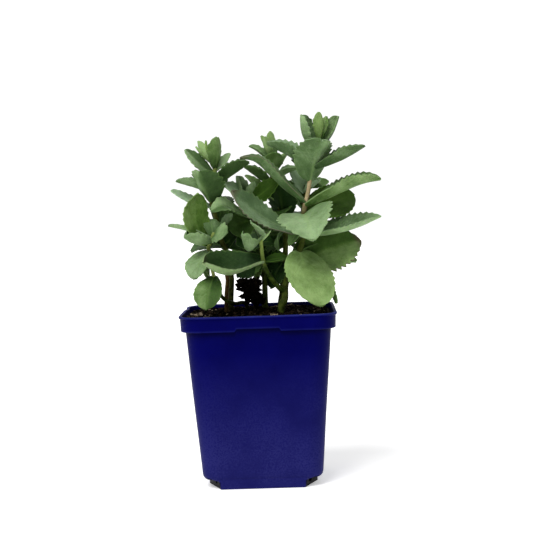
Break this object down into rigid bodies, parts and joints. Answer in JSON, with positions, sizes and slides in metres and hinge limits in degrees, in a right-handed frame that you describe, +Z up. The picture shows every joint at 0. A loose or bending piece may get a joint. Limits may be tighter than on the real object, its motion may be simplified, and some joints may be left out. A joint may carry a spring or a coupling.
{
  "type": "potted stonecrop plant",
  "caption": "Fleshy-leaved stonecrop with toothed blue-green leaves on upright stems, growing in peat soil in a deep square plastic nursery pot with a stepped collar.",
  "frame": {"origin": "middle of the flat foot that the pot stands on", "axes": "+Z up through the plant; +X to the viewer's right and -Y towards the viewer when the pictured side faces the viewer"},
  "size_m": [0.1586, 0.1265, 0.2721],
  "materials": {
    "pot_plastic": "satin moulded plastic, finely scuffed",
    "peat": "crumbly dark peat with bark flecks",
    "leaf_fresh": "fleshy leaf with a matte waxy bloom",
    "leaf_shaded": "fleshy leaf, darker inner foliage",
    "leaf_withered": "shrivelled, nearly black, rough"
  },
  "bodies": {
    "root": {"pot": "pot_plastic", "soil": "peat", "stem_right_tall": "leaf_fresh", "stem_middle": "leaf_shaded", "stem_left": "leaf_fresh", "stem_left_low": "leaf_fresh", "shoot_front_left": "leaf_fresh", "stem_back_right": "leaf_shaded", "stem_centre": "leaf_shaded", "shoot_dead": "leaf_withered"}
  },
  "joints": []
}
